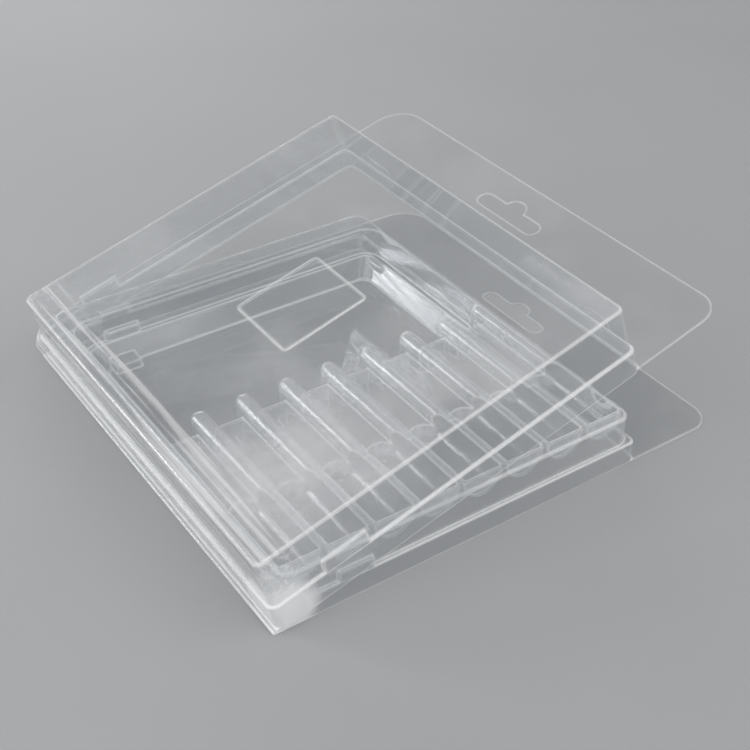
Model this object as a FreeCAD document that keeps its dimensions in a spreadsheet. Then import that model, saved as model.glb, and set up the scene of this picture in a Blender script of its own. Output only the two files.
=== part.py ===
"""Clear thermoformed clamshell pack: a base tray and a lid joined by a fold along one edge.

Millimetres. +X runs from the fold to the hang tab, +Y along the fold, +Z up.
The origin is on the underside of the base, in the middle of its wall beside the fold. The
halves are built from the front corner of that wall and then placed about its middle.
Each half is one sheet: the solid under its upper surface, less the same solid one sheet
thickness further in. The lid is built shut and then turned open about the fold.
"""
import FreeCAD, Part
import os

SIZES = [
    ("sheet", 0.5, "thickness of the plastic sheet"),
    ("clearance", 0.3, "gap between the halves when shut"),
    ("body_length", 138.0, "base wall to base wall along X"),
    ("body_width", 163.0, "base wall to base wall along Y"),
    ("band_height", 8.15, "lower band of the base"),
    ("band_lean", 0.3, "how far the band leans in"),
    ("band_corner", 2.5, "upright corners of the band"),
    ("plateau_height", 18.6, "top of the base tray"),
    ("plateau_step", 1.6, "ledge between the band and the upper wall"),
    ("plateau_lean", 0.3, "how far the upper wall leans in"),
    ("plateau_corner", 5.0, "upright corners of the upper wall"),
    ("edge_radius", 1.0, "rounded top edges of the base"),
    ("rim_side", 3.9, "band face to recess on the fold side and the tab side"),
    ("rim_rear", 13.3, "band face to recess at the rear"),
    ("recess_corner", 7.0, "upright corners of the recess"),
    ("recess_lean", 2.2, "how far the recess wall leans in"),
    ("ledge_level", 9.3, "height of the ledge inside the recess"),
    ("ledge_width", 2.0, "width of that ledge"),
    ("pocket_floor", 1.4, "height of the pocket floor"),
    ("pocket_lean", 4.0, "how far the pocket wall leans in"),
    ("flute_count", 8, "troughs side by side"),
    ("flute_pitch", 16.65, "from one trough to the next"),
    ("trough_radius", 6.85, "round bottom of a trough"),
    ("trough_bottom", 10.25, "height of the trough bottom"),
    ("trough_front", 6.5, "flat front end of a trough"),
    ("dome_centre", 35.5, "centre of the domed rear end of a trough"),
    ("shelf_level", 13.5, "floor between the bars behind the troughs"),
    ("shelf_rear", 77.0, "rear edge of that floor"),
    ("shelf_overlap", 3.0, "how far the bars reach into the trough zone"),
    ("bar_radius", 3.25, "half round bars between the troughs"),
    ("bar_drop", 0.05, "bars end just under the plateau"),
    ("nose_centre", 80.7, "centre of a bar's rounded nose"),
    ("side_bar_radius", 2.2, "narrow bar beside the tab side wall"),
    ("pad_low", 19.0, "front and rear snap pads of the lid start here along X"),
    ("pad_high", 34.5, "front and rear snap pads of the lid end here along X"),
    ("lid_pad_rise", 4.7, "how far the lid's pads stand above its ledge"),
    ("base_pad_rise", 3.6, "how far the base's pads stand above its ledge"),
    ("pad_margin", 1.6, "how much shorter a base pad is at each end, so that the lid can swing"),
    ("pad_setback", 0.05, "a pad's face lies just behind the upper edge of the band"),
    ("dent_depth", 1.1, "how deep the tab side dents of the base are"),
    ("near_dent", 16.0, "middle of the front tab side dent"),
    ("near_half", 7.2, "half the length of the front tab side dent"),
    ("far_dent", 138.5, "middle of the rear tab side dent"),
    ("far_half", 10.4, "half the length of the rear tab side dent"),
    ("nub_radius", 2.3, "oval nub on the tab side wall of the pocket"),
    ("nub_rise", 1.0, "how far that nub stands out"),
    ("nub_length", 13.0, "nub from end to end"),
    ("stop_start", 16.0, "block on the ledge at the rear starts here along X"),
    ("stop_length", 14.0, "length of that block"),
    ("stop_margin", 0.4, "ledge left free in front of that block"),
    ("stop_top", 12.8, "height of its top"),
    ("stop_corner", 1.8, "its upright corners"),
    ("step_start", 14.9, "small step at the foot of the rear pocket wall starts here along X"),
    ("step_length", 10.0, "length of that step"),
    ("step_height", 4.5, "top of that step"),
    ("tab_reach", 37.5, "hang tab beyond the base wall"),
    ("flange_rear", 16.0, "flange behind the rear wall"),
    ("flange_fold", 2.0, "flat strip between the wall and the fold"),
    ("corner_fold", 10.0, "rear corner of the flange at the fold"),
    ("corner_rear", 12.5, "rear corner of the hang tab"),
    ("corner_front", 9.0, "front corner of the hang tab"),
    ("slot_length", 32.0, "hang slot from end to end"),
    ("slot_height", 6.0, "hang slot without its bump"),
    ("slot_bump", 4.6, "radius of the bump in the middle of the slot"),
    ("slot_setback", 15.5, "slot centre line from the tab's outer edge"),
    ("slot_middle", 91.0, "middle of the slot along Y"),
    ("lid_height", 27.2, "rim of the lid to its top"),
    ("lid_band", 9.4, "lower band of the lid above its rim"),
    ("lid_step", 0.8, "ledge between the lid's band and its wall"),
    ("lid_lean", 1.3, "how far the lid's wall leans in"),
    ("lid_corner", 2.5, "upright corners of the lid's wall"),
    ("lid_edge", 0.9, "rounded top edges of the lid"),
    ("press_radius", 8.0, "roundness of the lid's tab side dents"),
    ("press_depth", 0.6, "how deep those dents are"),
    ("press_level", 13.0, "their height above the rim"),
    ("press_margin", 4.6, "base dent's half length less the straight half of the lid's dent"),
    ("panel_length", 32.4, "raised panel on the lid along X"),
    ("panel_width", 30.3, "raised panel on the lid along Y"),
    ("panel_rise", 0.4, "how far the panel stands up"),
    ("panel_radius", 1.5, "corners of the panel"),
    ("bead_radius", 0.5, "solid bead along the fold"),
    ("open_angle", 16.0, "how far the lid stands open"),
]

NAMES = {alias for alias, value, meaning in SIZES}
LAY_DOWN = FreeCAD.Rotation(FreeCAD.Vector(1, 0, 0), 90)
ALONG_X = FreeCAD.Rotation(FreeCAD.Vector(0, 1, 0), 90)
ALONG_Y = FreeCAD.Rotation(FreeCAD.Vector(1, 0, 0), -90)
ALONG_Z = FreeCAD.Rotation()
DEEP = "5"
PAD_REACH = "4"

doc = FreeCAD.newDocument("ClamshellPack")
sheet = doc.addObject("Spreadsheet::Sheet", "Sizes")
for row, (alias, value, meaning) in enumerate(SIZES, start=1):
    sheet.set(f"A{row}", meaning)
    sheet.set(f"B{row}", str(value))
    sheet.setAlias(f"B{row}", alias)
doc.recompute()


def size(alias):
    """The present value of one named size."""
    return float(getattr(sheet, alias))


def bound(text):
    """An expression in which every named size is read from the sheet."""
    out = ""
    word = ""
    for letter in text + " ":
        if letter.isalnum() or letter == "_":
            word += letter
            continue
        out += f"Sizes.{word}" if word in NAMES else word
        out += letter
        word = ""
    return out.strip()


def bind(item, **expressions):
    """Ties properties of an object to the sheet."""
    for name, text in expressions.items():
        item.setExpression(name, bound(text))


def place(item, x, y, z):
    """Ties an object's position to the sheet."""
    item.setExpression("Placement.Base.x", bound(x))
    item.setExpression("Placement.Base.y", bound(y))
    item.setExpression("Placement.Base.z", bound(z))


def block(name, x, y, z, length, width, height):
    """A plain box from its low corner."""
    item = doc.addObject("Part::Box", name)
    bind(item, Length=length, Width=width, Height=height)
    place(item, x, y, z)
    return item


def drafted(name, x0, x1, y0, y1, z0, z1, lean):
    """A box whose four walls lean in by lean between z0 and z1."""
    item = doc.addObject("Part::Wedge", name)
    item.Placement.Rotation = LAY_DOWN
    bind(item, Ymin=z0, Ymax=z1, Xmin=x0, Xmax=x1, Zmin=f"-({y1})", Zmax=f"-({y0})")
    bind(item, X2min=f"{x0} + ({lean})", X2max=f"{x1} - ({lean})")
    bind(item, Z2min=f"-({y1}) + ({lean})", Z2max=f"-({y0}) - ({lean})")
    return item


def rod(name, direction, x, y, z, radius, length):
    """A cylinder that starts at a point and runs in one direction."""
    item = doc.addObject("Part::Cylinder", name)
    item.Placement.Rotation = direction
    bind(item, Radius=radius, Height=length)
    place(item, x, y, z)
    return item


def ball(name, x, y, z, radius):
    """A sphere about a point."""
    item = doc.addObject("Part::Sphere", name)
    bind(item, Radius=radius)
    place(item, x, y, z)
    return item


def capsule(name, direction, x, y, z, radius, run):
    """A round ended rod; the point is the centre of its first end."""
    end = [x, y, z]
    axis = 0 if direction is ALONG_X else 1
    end[axis] = f"{end[axis]} + {run}"
    return [
        rod(name, direction, x, y, z, radius, run),
        ball(name + "Start", x, y, z, radius),
        ball(name + "End", *end, radius),
    ]


def joined(name, items):
    """Several solids as one."""
    item = doc.addObject("Part::MultiFuse", name)
    item.Shapes = items
    return item


def less(name, base, tool):
    """One solid with another taken out of it."""
    item = doc.addObject("Part::Cut", name)
    item.Base = base
    item.Tool = tool
    return item


def rounded(name, base, upright, level=0.0, at_top=True):
    """Rounds a drafted box's upright edges, and the level ones at its top or its bottom."""
    doc.recompute()
    box = base.Shape.BoundBox
    rim = box.ZMax if at_top else box.ZMin
    edges = []
    for number, edge in enumerate(base.Shape.Edges, start=1):
        if edge.BoundBox.ZLength > 1e-6:
            edges.append((number, upright, upright))
        elif level > 0 and abs(edge.BoundBox.ZMax - rim) < 1e-6:
            edges.append((number, level, level))
    item = doc.addObject("Part::Fillet", name)
    item.Base = base
    item.Edges = edges
    return item


def trough(tag, number, off):
    """One trough: a round bottom, a flat front end and a domed rear end."""
    middle = (size("flute_count") - 1) / 2
    x = f"body_length / 2 + {number - middle} * flute_pitch"
    radius = f"trough_radius + {off}"
    front = f"trough_front - {off}"
    axis = "trough_bottom + trough_radius"
    rise = f"plateau_height + 1 - ({axis})"
    length = f"dome_centre - ({front})"
    name = f"{tag}Trough{number}"
    return [
        rod(name, ALONG_Y, x, front, axis, radius, length),
        ball(name + "Dome", x, "dome_centre", axis, radius),
        block(name + "Mouth", f"{x} - ({radius})", front, axis, f"2 * ({radius})", length, rise),
        rod(name + "DomeMouth", ALONG_Z, x, "dome_centre", axis, radius, rise),
    ]


def bar(tag, number, x, radius, off):
    """One round topped bar, with a rounded nose that goes down to the pocket floor."""
    level = f"plateau_height - bar_drop - {radius}"
    thin = f"{radius} - {off}"
    start = "dome_centre - shelf_overlap - 2"
    run = f"nose_centre - ({start})"
    name = f"{tag}Bar{number}"
    return [
        rod(name, ALONG_Y, x, start, level, thin, run),
        block(name + "Foot", f"{x} - ({thin})", start, "0", f"2 * ({thin})", run, level),
        rod(name + "Column", ALONG_Z, x, "nose_centre", "0", thin, level),
        ball(name + "Nose", x, "nose_centre", level, thin),
    ]


def all_bars(tag, off):
    """The bars between the troughs, and a narrow one beside the tab side wall."""
    count = int(size("flute_count"))
    items = []
    for number in range(count - 1):
        shift = number + 1 - count / 2
        x = f"body_length / 2 + {shift} * flute_pitch"
        items += bar(tag, number, x, "bar_radius", off)
    beside = "body_length - rim_side - side_bar_radius / 4"
    items += bar(tag, count - 1, beside, "side_bar_radius", off)
    return items


def pads(tag, off, face, margin, foot, rise):
    """A snap pad at the front and one at the rear: stretches of the band that rise past its ledge.

    face is how far inside the base's outline a pad's face lies, margin how much shorter each end is.
    """
    low = f"pad_low + {margin} + {off}"
    length = f"pad_high - pad_low - 2 * ({margin}) - 2 * {off}"
    tall = f"{rise} - {off}"
    deep = f"{PAD_REACH} - ({face}) - {off}"
    return [
        block(tag + "PadFront", low, f"{face} + {off}", foot, length, deep, tall),
        block(tag + "PadRear", low, f"body_width - {PAD_REACH}", foot, length, deep, tall),
    ]


def base_dents(tag, off):
    """Two long shallow hollows in the tab side of the base's upper wall."""
    items = []
    for side in ("near", "far"):
        half = f"{side}_half"
        radius = f"({half} * {half} + dent_depth * dent_depth) / (2 * dent_depth)"
        x = f"body_length - plateau_step - plateau_lean - dent_depth + {radius}"
        name = f"{tag}Dent{side.capitalize()}"
        items.append(rod(name, ALONG_Z, x, f"{side}_dent", "0", f"{radius} + {off}", "plateau_height + 1"))
    return items


def recess_details(tag, off):
    """A nub on the tab side, a rounded block on the rear ledge and a small step below it."""
    taken = size("sheet") if off == "sheet" else 0.0
    radius = f"nub_radius - {off}"
    run = "nub_length - 2 * nub_radius"
    side = "body_length - rim_side - recess_lean - ledge_width - pocket_lean * 0.3"
    ledge = "body_width - rim_rear - recess_lean - ledge_width"
    foot = f"{ledge} - pocket_lean"
    sunk = "nub_radius - nub_rise"
    stop = drafted(
        tag + "StopBlank", f"stop_start + {off}", f"stop_start + stop_length - {off}",
        f"{ledge} + stop_margin + {off}", "body_width - rim_rear + 3", "0", f"stop_top - {off}", "0.3")
    return [
        *capsule(tag + "NubSide", ALONG_Y, f"{side} + {sunk}", f"{foot} - 6",
                 "ledge_level - nub_radius", radius, run),
        rounded(tag + "Stop", stop, size("stop_corner") - taken, size("edge_radius") * 0.8 - taken),
        block(tag + "Step", f"step_start + {off}", f"{foot} - 5 + {off}", "0",
              f"step_length - 2 * {off}", "9", f"step_height - {off}"),
    ]


def recess_form(tag, off):
    """The hollow in the top of the base: a recess with a ledge, and a deeper pocket."""
    grown = size("sheet") if off == "sheet" else 0.0
    inner = f"rim_side + recess_lean - {off}"
    rear = f"body_width - rim_rear - recess_lean + {off}"
    lean = "-recess_lean * (plateau_height + 2 - ledge_level) / (plateau_height - ledge_level)"
    recess = drafted(
        tag + "RecessBlank", inner, f"body_length - ({inner})",
        f"dome_centre - shelf_overlap + recess_lean", rear,
        f"ledge_level - {off}", "plateau_height + 2", lean)
    deeper = f"{inner} + ledge_width + pocket_lean"
    lower_lean = "-pocket_lean * (ledge_level + 1 - pocket_floor) / (ledge_level - pocket_floor)"
    pocket = drafted(
        tag + "PocketBlank", deeper, f"body_length - ({deeper})",
        "dome_centre + 10", f"{rear} - ledge_width - pocket_lean",
        f"pocket_floor - {off}", "ledge_level + 1", lower_lean)
    return joined(tag + "Hollow", [
        rounded(tag + "Recess", recess, size("recess_corner") + grown),
        rounded(tag + "Pocket", pocket, size("recess_corner") - size("ledge_width") + grown,
                size("edge_radius") + grown, at_top=False),
    ])


def base_form(tag, off):
    """The solid under the base's upper surface, taken in by off."""
    taken = size("sheet") if off == "sheet" else 0.0
    band = drafted(
        tag + "BandBlank", off, f"body_length - {off}", off, f"body_width - {off}",
        "0", f"band_height - {off}", "band_lean")
    inset = f"plateau_step + {off}"
    plateau = drafted(
        tag + "PlateauBlank", inset, f"body_length - ({inset})", inset, f"body_width - ({inset})",
        "0", f"plateau_height - {off}", "plateau_lean")
    edge = size("edge_radius") - taken
    upper = less(
        tag + "Dented", rounded(tag + "Plateau", plateau, size("plateau_corner") - taken, edge),
        joined(tag + "Dents", base_dents(tag, off)))
    outside = joined(tag + "Outside", [
        rounded(tag + "Band", band, size("band_corner") - taken, edge / 2), upper,
        *pads(tag, off, "(band_lean + pad_setback)", "pad_margin", "0", "band_height + base_pad_rise")])
    shelf = block(
        tag + "Shelf", f"plateau_step * 2", f"trough_front", "0", "body_length - plateau_step * 4",
        f"shelf_rear - trough_front - {off}", f"shelf_level - {off}")
    filled = joined(tag + "Filled", [
        less(tag + "Recessed", outside, recess_form(tag, off)), shelf,
        *all_bars(tag, off), *recess_details(tag, off)])
    troughs = []
    for number in range(int(size("flute_count"))):
        troughs += trough(tag, number, off)
    return less(tag + "Form", filled, joined(tag + "Troughs", troughs))


def flange_plate(tag, z, fold_edge):
    """The flat sheet round the walls: fold strip, rear flange and hang tab, corners rounded."""
    outer = "body_length + tab_reach"
    rear = "body_width + flange_rear"
    plate = block(tag + "PlateBlank", fold_edge, "0", z, f"{outer} - ({fold_edge})", rear, "sheet")
    doc.recompute()
    box = plate.Shape.BoundBox
    edges = []
    for number, edge in enumerate(plate.Shape.Edges, start=1):
        if edge.BoundBox.ZLength < 1e-6:
            continue
        at_rear = abs(edge.BoundBox.YMax - box.YMax) < 1e-6
        at_tab = abs(edge.BoundBox.XMax - box.XMax) < 1e-6
        if at_rear:
            radius = size("corner_rear") if at_tab else size("corner_fold")
            edges.append((number, radius, radius))
        elif at_tab:
            edges.append((number, size("corner_front"), size("corner_front")))
    item = doc.addObject("Part::Fillet", tag + "Plate")
    item.Base = plate
    item.Edges = edges
    return item


def slot_form(tag, z):
    """A long hang slot with round ends and a round bump in the middle of its outer side."""
    centre = "body_length + tab_reach - slot_setback"
    half = "slot_height / 2"
    run = "slot_length - slot_height"
    low = f"{z} - 2"
    start = f"slot_middle - ({run}) / 2"
    return joined(tag + "Slot", [
        block(tag + "SlotRun", f"{centre} - {half}", start, low, "slot_height", run, DEEP),
        rod(tag + "SlotStart", ALONG_Z, centre, start, low, half, DEEP),
        rod(tag + "SlotEnd", ALONG_Z, centre, f"{start} + {run}", low, half, DEEP),
        rod(tag + "SlotBump", ALONG_Z, f"{centre} + slot_height * 0.4", "slot_middle", low,
            "slot_bump", DEEP),
    ])


def lid_dents(tag, off):
    """Two shallow rounded dents in the tab side of the lid's wall."""
    rim = "sheet + clearance"
    items = []
    wall = f"body_length + {rim} - lid_step - lid_lean * press_level / lid_height"
    for side in ("near", "far"):
        half = f"({side}_half - press_margin)"
        items += capsule(
            f"{tag}Press{side.capitalize()}", ALONG_Y, f"{wall} + press_radius - press_depth",
            f"{side}_dent - {half}", f"{rim} + press_level", f"press_radius + {off}", f"2 * {half}")
    return items


def lid_form(tag, off):
    """The solid under the lid's upper surface when shut, taken in by off."""
    taken = size("sheet") if off == "sheet" else 0.0
    out = f"(clearance + sheet - {off})"
    rim = "sheet + clearance"
    corner = size("band_corner") + size("clearance") + size("sheet") - taken
    edge = size("lid_edge") - taken
    band = drafted(
        tag + "BandBlank", f"0 - {out}", f"body_length + {out}", f"0 - {out}",
        f"body_width + {out}", rim, f"{rim} + lid_band - {off}", "band_lean")
    wall = drafted(
        tag + "WallBlank", f"lid_step - {out}", f"body_length + {out} - lid_step",
        f"lid_step - {out}", f"body_width + {out} - lid_step",
        rim, f"{rim} + lid_height - {off}", "lid_lean")
    dented = less(
        tag + "Dented", rounded(tag + "Wall", wall, size("lid_corner") - taken, edge),
        joined(tag + "Dents", lid_dents(tag, off)))
    panel = block(
        tag + "PanelBlank", f"(body_length - panel_length) / 2 + {off}",
        f"(body_width - panel_width) / 2 + {off}", f"{rim} + lid_height - 3",
        f"panel_length - 2 * {off}", f"panel_width - 2 * {off}", f"3 + panel_rise - {off}")
    face = "(band_lean + pad_setback - clearance - sheet)"
    return joined(tag + "Form", [
        rounded(tag + "Band", band, corner, edge / 2), dented,
        rounded(tag + "Panel", panel, size("panel_radius") - taken / 2),
        *pads(tag, off, face, "0", rim, "lid_band + lid_pad_rise")])


def make_base():
    """The base tray: formed sheet, flange, hang slot and the bead along the fold."""
    plate = flange_plate("Base", "0", "-flange_fold")
    bead = rod("FoldBead", ALONG_Y, "-flange_fold", "0", "sheet + clearance / 2", "bead_radius",
               "body_width")
    whole = joined("BaseWhole", [plate, base_form("BaseUpper", "0"), bead])
    hollow = less("BaseHollow", whole, base_form("BaseLower", "sheet"))
    tray = less("BaseTray", hollow, slot_form("Base", "0"))
    tray.setExpression("Placement.Base.y", bound("-body_width / 2"))
    return tray


def make_lid():
    """The lid: formed sheet, flange and hang slot, turned open about the fold."""
    rim = "sheet + clearance"
    plate = flange_plate("Lid", rim, "bead_radius + clearance - flange_fold")
    whole = joined("LidWhole", [plate, lid_form("LidUpper", "0")])
    hollow = less("LidHollow", whole, lid_form("LidLower", "sheet"))
    lid = less("LidShut", hollow, slot_form("Lid", rim))
    fold = FreeCAD.Vector(-size("flange_fold"), 0, size("sheet") + size("clearance") / 2)
    turn = FreeCAD.Rotation(FreeCAD.Vector(0, 1, 0), -size("open_angle"))
    centred = FreeCAD.Vector(0, -size("body_width") / 2, 0)
    opened = FreeCAD.Placement(fold, turn) * FreeCAD.Placement(-fold, FreeCAD.Rotation())
    lid.Placement = FreeCAD.Placement(centred, FreeCAD.Rotation()) * opened
    return lid


def check(parts):
    """Stops if any object failed, or a part is missing, broken or in pieces."""
    for item in doc.Objects:
        if "Invalid" in item.State or "Error" in item.State:
            raise RuntimeError(f"{item.Name} failed to build")
    for label, item in parts.items():
        shape = item.Shape
        if shape.isNull() or not shape.isValid():
            raise RuntimeError(f"{label} is not a valid shape")
        if len(shape.Solids) != 1:
            raise RuntimeError(f"{label} has {len(shape.Solids)} solids")


parts = {"base_tray": make_base(), "lid": make_lid()}
for label, item in parts.items():
    item.Label = label
doc.recompute()
check(parts)
os.makedirs("parts", exist_ok=True)
for label, item in parts.items():
    item.Shape.exportStep(f"parts/{label}.step")
    print(label, round(item.Shape.Volume, 1), item.Shape.BoundBox)
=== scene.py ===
"""Clear plastic clamshell pack on a pale studio floor. Metres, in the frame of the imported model."""
import math
import bpy
from mathutils import Matrix, Vector


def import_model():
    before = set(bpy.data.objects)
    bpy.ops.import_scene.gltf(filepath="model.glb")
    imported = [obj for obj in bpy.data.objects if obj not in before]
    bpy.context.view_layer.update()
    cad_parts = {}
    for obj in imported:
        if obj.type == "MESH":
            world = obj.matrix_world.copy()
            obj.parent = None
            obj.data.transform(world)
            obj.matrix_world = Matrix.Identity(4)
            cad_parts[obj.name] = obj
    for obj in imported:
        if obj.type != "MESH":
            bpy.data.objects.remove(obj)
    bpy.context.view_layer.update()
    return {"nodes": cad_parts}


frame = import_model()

# Camera: the viewing angle of the photograph, which is 750 pixels wide
IMAGE_WIDTH = 750
FOCAL_PIXELS = 1311.75
SENSOR = 36.0
YAW = math.radians(-35.17)
PITCH = math.radians(36.46)
ROLL = math.radians(1.03)
TARGET = Vector((0.0927, 0.0055, 0.0))
DISTANCE = 0.4746
CLIP_START = 0.01

# Floor and backdrop: the floor fades into the backdrop between two distances from the pack
FLOOR_SIZE = 8.0
FLOOR_DROP = 0.0002
FLOOR_FADE = (0.45, 1.5)
FLOOR_COLOUR = (0.34, 0.345, 0.35, 1)
FLOOR_ROUGHNESS = 0.75
GRAIN_SCALE = 9.0
GRAIN_DETAIL = 6.0
GRAIN_NOISE = (0.3, 0.7)
GRAIN_TONE = (0.97, 1.0)
BACKDROP = (0.40, 0.403, 0.406, 1)

# Light
WORLD_COLOUR = (0.53, 0.535, 0.54, 1)
WORLD_LOW = 0.30
WORLD_HIGH = 0.80
AIM = Vector((0.08, 0.0, 0.02))
LAMPS = [
    # name, place, width, height, watts
    ("key", Vector((-0.75, -0.25, 1.10)), 1.90, 1.90, 15.0),
    ("fill", Vector((0.80, -0.80, 0.95)), 1.60, 1.20, 8.5),
    ("rim", Vector((0.30, 1.02, 0.28)), 0.90, 0.16, 3.5),
    ("side", Vector((-0.65, 0.77, 0.40)), 0.18, 0.70, 3.5),
]
TRANSPARENT_BOUNCES = 48
MOST_BOUNCES = 4
DIFFUSE_BOUNCES = 1
GLOSSY_BOUNCES = 2

# Clear sheet: its index, its least share of mirror, its colours, and the share of milk that glows through
INDEX = 1.52
MIRROR_LEAST = 0.035
SHEET_COLOUR = (0.97, 0.972, 0.975, 1)
MILK_COLOUR = (0.95, 0.953, 0.958, 1)
SEEN_THROUGH = (0.975, 0.98, 0.985, 1)
SHADE_COLOUR = (0.82, 0.824, 0.828, 1)
TRANSLUCENT_SHARE = 0.3

# Slow waves in the sheet
RIPPLE_SCALE = 38.0
RIPPLE_DETAIL = 2.0
RIPPLE_STRENGTH = 0.25
RIPPLE_HEIGHT = 0.0006

# Smoky noise, and the haze, cloudiness and roughness that it is turned into
SMOKE_SCALE = 22.0
SMOKE_DETAIL = 4.0
SMOKE_ROUGHNESS = 0.6
HAZE_NOISE = (0.42, 0.72)
HAZE = (0.012, 0.10)
CLOUD_NOISE = (0.36, 0.64)
CLOUD = (0.5, 1.0)
GLOSS_NOISE = (0.3, 0.7)
GLOSS_ROUGHNESS = (0.05, 0.14)

# Smoky patch near the front corner, and the milky corner itself: distances between which each fades
SMOKE_CENTRE = Vector((0.022, -0.052, 0.020))
SMOKE_FADE = (0.0, 0.060)
SMOKE_MILK = 0.16
FRONT_CORNER = Vector((0.002, -0.0775, 0.006))
CORNER_FADE = (0.0077, 0.014)
CORNER_MILK = 1.0

# Streaks beside the fold, which fade between two distances from it
STREAK_STRETCH = (1.0, 0.03, 1.0)
STREAK_SCALE = 420.0
STREAK_DETAIL = 2.0
STREAK_NOISE = (0.45, 0.66)
STREAK_FADE = (0.0042, 0.007)
STREAK_MILK = 0.38

# Painted white highlights on folds and edges: how near the rounded normal is to the face's own, as a
# cosine
CREASE_RADIUS = 0.0012
CREASE_SAMPLES = 2
FOLD_FADE = (0.965, 0.994)
FOLD_PAINTED_HIGHLIGHT = 1.0

# Haze of the fluted block: heights over which it starts, and places along Y over which it ends
BLOCK_RISE = (0.007, 0.0105)
BLOCK_FADE = (0.0045, 0.0055)
BLOCK_MILK = 0.13

# Haze of the lid's top: heights square to the tilted lid, and places along Y over which it thins
LID_TILT = math.radians(16)
LID_RISE = (0.0267, 0.0275)
LID_FADE = (-0.080, 0.030)
LID_MILK = (0.15, 0.03)

# Numbers of the colour sockets of a Mix node, whose names aren't unique
MIX_FIRST = 6
MIX_SECOND = 7
MIX_RESULT = 2


class Tree:
    """Shortens the making and linking of the shader nodes of a material or a world."""

    def __init__(self, owner):
        owner.use_nodes = True
        self.nodes = owner.node_tree.nodes
        self.links = owner.node_tree.links

    def put(self, socket, value):
        """Links a socket to an input, or sets the input to a number or a colour."""
        if isinstance(value, bpy.types.NodeSocket):
            self.links.new(value, socket)
        else:
            socket.default_value = value

    def node(self, kind, **values):
        """A node with its inputs set by name, an underscore standing for each space."""
        made = self.nodes.new(kind)
        for name, value in values.items():
            self.put(made.inputs[name.replace("_", " ")], value)
        return made

    def calc(self, operation, first, second, clamp=False):
        made = self.nodes.new("ShaderNodeMath")
        made.operation = operation
        made.use_clamp = clamp
        self.put(made.inputs[0], first)
        self.put(made.inputs[1], second)
        return made.outputs[0]

    def compare(self, operation, first, second):
        """The distance or the dot product of two vectors."""
        made = self.nodes.new("ShaderNodeVectorMath")
        made.operation = operation
        self.put(made.inputs[0], first)
        self.put(made.inputs[1], second)
        return made.outputs["Value"]

    def ranged(self, value, source, target):
        """Turns one range of a value smoothly into another."""
        made = self.node(
            "ShaderNodeMapRange", From_Min=source[0], From_Max=source[1], To_Min=target[0],
            To_Max=target[1], Value=value)
        made.interpolation_type = "SMOOTHSTEP"
        return made.outputs["Result"]

    def axis(self, place, name):
        return self.node("ShaderNodeSeparateXYZ", Vector=place).outputs[name]

    def mix(self, factor, first, second):
        made = self.nodes.new("ShaderNodeMixShader")
        self.put(made.inputs[0], factor)
        self.put(made.inputs[1], first)
        self.put(made.inputs[2], second)
        return made.outputs[0]

    def object_place(self):
        return self.nodes.new("ShaderNodeTexCoord").outputs["Object"]

    def light_path(self, name):
        return self.nodes.new("ShaderNodeLightPath").outputs[name]


def block_haze(tree, place):
    """The fluted block was drawn thinner and is greyer than the rest of the tray."""
    raised = tree.ranged(tree.axis(place, "Z"), BLOCK_RISE, (0.0, 1.0))
    forward = tree.ranged(tree.axis(place, "Y"), BLOCK_FADE, (BLOCK_MILK, 0.0))
    return tree.calc("MULTIPLY", raised, forward)


def lid_haze(tree, place):
    """The lid's top is smoky, most of all towards its front edge."""
    upward = (-math.sin(LID_TILT), 0.0, math.cos(LID_TILT))
    on_top = tree.ranged(tree.compare("DOT_PRODUCT", place, upward), LID_RISE, (0.0, 1.0))
    forward = tree.ranged(tree.axis(place, "Y"), LID_FADE, LID_MILK)
    return tree.calc("MULTIPLY", on_top, forward)


def patchy_haze(tree, place, smoke, more_haze):
    """Faint haze in patches, stronger near the front corner and where more_haze says."""
    near = tree.ranged(tree.compare("DISTANCE", place, SMOKE_CENTRE), SMOKE_FADE, (SMOKE_MILK, 0.0))
    smoky = tree.calc("ADD", near, more_haze(tree, place))
    cloudy = tree.calc("MULTIPLY", smoky, tree.ranged(smoke, CLOUD_NOISE, CLOUD))
    return tree.calc("ADD", tree.ranged(smoke, HAZE_NOISE, HAZE), cloudy, clamp=True)


def milky_corner(tree, place):
    """The sheet is milky where it was drawn thinnest, at the front corner beside the fold."""
    return tree.ranged(tree.compare("DISTANCE", place, FRONT_CORNER), CORNER_FADE, (CORNER_MILK, 0.0))


def streaks(tree, place):
    """Fine white streaks along the walls beside the fold."""
    stretched = tree.node("ShaderNodeMapping", Vector=place, Scale=STREAK_STRETCH).outputs[0]
    lines = tree.node("ShaderNodeTexNoise", Vector=stretched, Scale=STREAK_SCALE, Detail=STREAK_DETAIL)
    beside = tree.ranged(tree.axis(place, "X"), STREAK_FADE, (STREAK_MILK, 0.0))
    return tree.calc("MULTIPLY", beside, tree.ranged(lines.outputs[0], STREAK_NOISE, (0.0, 1.0)))


def painted_fold_highlights(tree, rounded, face):
    """Painted white highlights on folds and edges, where the rounded normal leaves the face's own."""
    along = tree.compare("DOT_PRODUCT", rounded, face.outputs["Normal"])
    return tree.ranged(along, FOLD_FADE, (FOLD_PAINTED_HIGHLIGHT, 0.0))


def mirror_share(tree, normal):
    """Both faces of a thin sheet reflect, so together they mirror 2 F / (1 + F)."""
    once = tree.node("ShaderNodeFresnel", IOR=INDEX, Normal=normal).outputs[0]
    both = tree.calc("DIVIDE", tree.calc("MULTIPLY", once, 2.0), tree.calc("ADD", once, 1.0))
    return tree.calc("ADD", both, MIRROR_LEAST, clamp=True)


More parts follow.
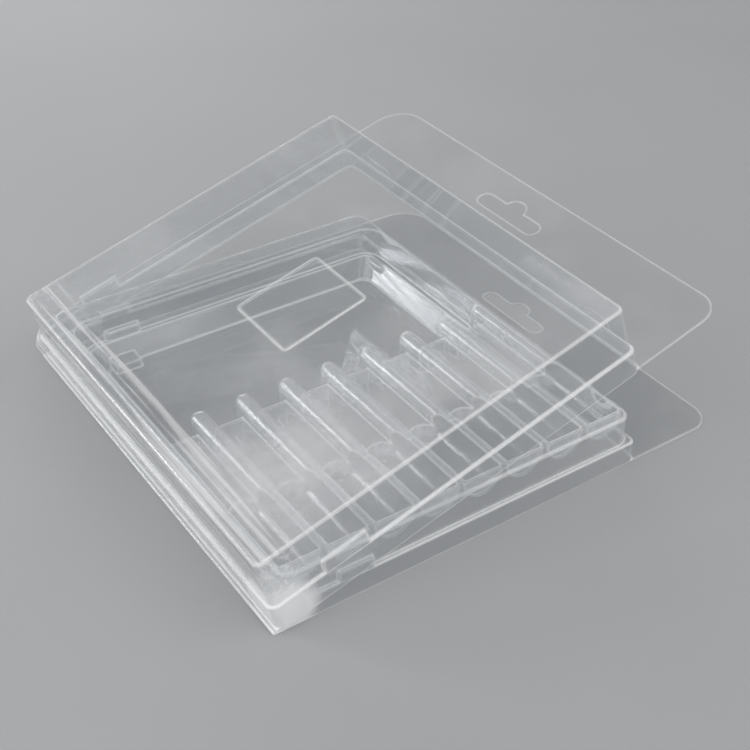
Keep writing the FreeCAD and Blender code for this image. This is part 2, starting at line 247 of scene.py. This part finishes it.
def clear_sheet(name, more_haze):
    """Clear glossy sheet: see-through face on, mirror-like at a glance, white where it is drawn, with
    painted white highlights on its folds and edges.
    """
    material = bpy.data.materials.new(name)
    tree = Tree(material)
    place = tree.object_place()
    face = tree.nodes.new("ShaderNodeNewGeometry")
    crease = tree.node("ShaderNodeBevel", Radius=CREASE_RADIUS)
    crease.samples = CREASE_SAMPLES
    rounded = crease.outputs[0]
    ripple = tree.node("ShaderNodeTexNoise", Vector=place, Scale=RIPPLE_SCALE, Detail=RIPPLE_DETAIL)
    wavy = tree.node(
        "ShaderNodeBump", Strength=RIPPLE_STRENGTH, Distance=RIPPLE_HEIGHT, Height=ripple.outputs[0],
        Normal=rounded).outputs[0]
    smoke = tree.node(
        "ShaderNodeTexNoise", Vector=place, Scale=SMOKE_SCALE, Detail=SMOKE_DETAIL,
        Roughness=SMOKE_ROUGHNESS).outputs[0]

    haze = patchy_haze(tree, place, smoke, more_haze)
    # The milky corner and the streaks are added to the haze, and so are painted white highlights on folds
    # and edges
    for white in (milky_corner(tree, place), streaks(tree, place), painted_fold_highlights(tree, rounded, face)):
        haze = tree.calc("ADD", haze, white, clamp=True)

    gloss = tree.nodes["Principled BSDF"]
    gloss.inputs["Base Color"].default_value = SHEET_COLOUR
    gloss.inputs["Metallic"].default_value = 1.0
    tree.put(gloss.inputs["Roughness"], tree.ranged(smoke, GLOSS_NOISE, GLOSS_ROUGHNESS))
    tree.put(gloss.inputs["Normal"], wavy)
    through = tree.node("ShaderNodeBsdfTransparent", Color=SEEN_THROUGH).outputs[0]
    cloud = tree.node("ShaderNodeBsdfTranslucent", Color=MILK_COLOUR)
    powder = tree.node("ShaderNodeBsdfDiffuse", Color=MILK_COLOUR)
    clear = tree.mix(mirror_share(tree, wavy), through, gloss.outputs[0])
    milk = tree.mix(TRANSLUCENT_SHARE, powder.outputs[0], cloud.outputs[0])

    # The sheet's far face adds nothing to what its near face shows
    whole = tree.mix(face.outputs["Backfacing"], tree.mix(haze, clear, milk), through)

    # Light that passes the sheet is dimmed evenly, which gives a soft shadow at a low cost
    shade = tree.node("ShaderNodeBsdfTransparent", Color=SHADE_COLOUR)
    surface = tree.mix(tree.light_path("Is Shadow Ray"), whole, shade.outputs[0])
    tree.put(tree.nodes["Material Output"].inputs["Surface"], surface)
    return material


def dress(node, material):
    """Gives a CAD node its material."""
    item = frame["nodes"][node]
    item.data.materials.clear()
    item.data.materials.append(material)


def pale_floor():
    """A pale material with a barely visible grain, which runs into an even pale backdrop."""
    material = bpy.data.materials.new("pale_floor")
    tree = Tree(material)
    place = tree.object_place()
    grain = tree.node("ShaderNodeTexNoise", Vector=place, Scale=GRAIN_SCALE, Detail=GRAIN_DETAIL)
    colour = tree.nodes.new("ShaderNodeMix")
    colour.data_type = "RGBA"
    colour.blend_type = "MULTIPLY"
    colour.inputs[0].default_value = 1.0
    colour.inputs[MIX_FIRST].default_value = FLOOR_COLOUR
    tree.put(colour.inputs[MIX_SECOND], tree.ranged(grain.outputs[0], GRAIN_NOISE, GRAIN_TONE))
    matt = tree.nodes["Principled BSDF"]
    tree.put(matt.inputs["Base Color"], colour.outputs[MIX_RESULT])
    matt.inputs["Roughness"].default_value = FLOOR_ROUGHNESS
    away = tree.ranged(tree.compare("DISTANCE", place, (0, 0, 0)), FLOOR_FADE, (0.0, 1.0))
    seen = tree.calc("MULTIPLY", away, tree.light_path("Is Camera Ray"))
    backdrop = tree.node("ShaderNodeEmission", Color=BACKDROP)
    surface = tree.mix(seen, matt.outputs[0], backdrop.outputs[0])
    tree.put(tree.nodes["Material Output"].inputs["Surface"], surface)
    return material


def floor():
    """A wide flat floor, just below the pack."""
    bpy.ops.mesh.primitive_plane_add(size=FLOOR_SIZE, location=(0, 0, -FLOOR_DROP))
    plane = bpy.context.object
    plane.name = "studio_floor"
    plane.data.materials.append(pale_floor())


def lamp(name, place, width, height, watts):
    """A soft panel that faces the pack."""
    data = bpy.data.lights.new(name, "AREA")
    data.shape = "RECTANGLE"
    data.size = width
    data.size_y = height
    data.energy = watts
    item = bpy.data.objects.new(name, data)
    item.location = place
    item.rotation_euler = (AIM - place).to_track_quat("-Z", "Y").to_euler()
    bpy.context.scene.collection.objects.link(item)


def world():
    """Plain pale surroundings, dimmer at the horizon than overhead, and even to the camera."""
    sky = bpy.data.worlds.new("studio")
    tree = Tree(sky)
    upward = tree.axis(tree.nodes.new("ShaderNodeTexCoord").outputs["Generated"], "Z")
    rise = tree.node("ShaderNodeMapRange", Value=upward, To_Min=WORLD_LOW, To_Max=WORLD_HIGH)
    lit = tree.nodes["Background"]
    lit.inputs["Color"].default_value = WORLD_COLOUR
    tree.put(lit.inputs["Strength"], rise.outputs["Result"])
    even = tree.node("ShaderNodeBackground", Color=BACKDROP)
    surface = tree.mix(tree.light_path("Is Camera Ray"), lit.outputs[0], even.outputs[0])
    tree.put(tree.nodes["World Output"].inputs["Surface"], surface)
    bpy.context.scene.world = sky


def camera():
    """The camera, from its yaw, pitch and roll and the floor point it looks at."""
    forward = Vector((
        math.sin(-YAW) * math.cos(PITCH), math.cos(YAW) * math.cos(PITCH), -math.sin(PITCH)))
    right = forward.cross(Vector((0, 0, 1))).normalized()
    up = right.cross(forward)
    level_right = right * math.cos(ROLL) + up * math.sin(ROLL)
    level_up = up * math.cos(ROLL) - right * math.sin(ROLL)
    data = bpy.data.cameras.new("camera")
    data.sensor_fit = "HORIZONTAL"
    data.sensor_width = SENSOR
    data.lens = FOCAL_PIXELS * SENSOR / IMAGE_WIDTH
    data.clip_start = CLIP_START
    item = bpy.data.objects.new("camera", data)
    turn = Matrix((level_right, level_up, -forward)).transposed().to_4x4()
    item.matrix_world = Matrix.Translation(TARGET - forward * DISTANCE) @ turn
    bpy.context.scene.collection.objects.link(item)
    bpy.context.scene.camera = item


def settings():
    """The plain view, and as many bounces as the layers of clear sheet need."""
    scene = bpy.context.scene
    scene.view_settings.view_transform = "Standard"
    scene.cycles.transparent_max_bounces = TRANSPARENT_BOUNCES
    scene.cycles.max_bounces = MOST_BOUNCES
    scene.cycles.diffuse_bounces = DIFFUSE_BOUNCES
    scene.cycles.glossy_bounces = GLOSSY_BOUNCES


settings()
camera()
world()
floor()
for entry in LAMPS:
    lamp(*entry)
dress("base_tray", clear_sheet("clear_sheet_base", block_haze))
dress("lid", clear_sheet("clear_sheet_lid", lid_haze))
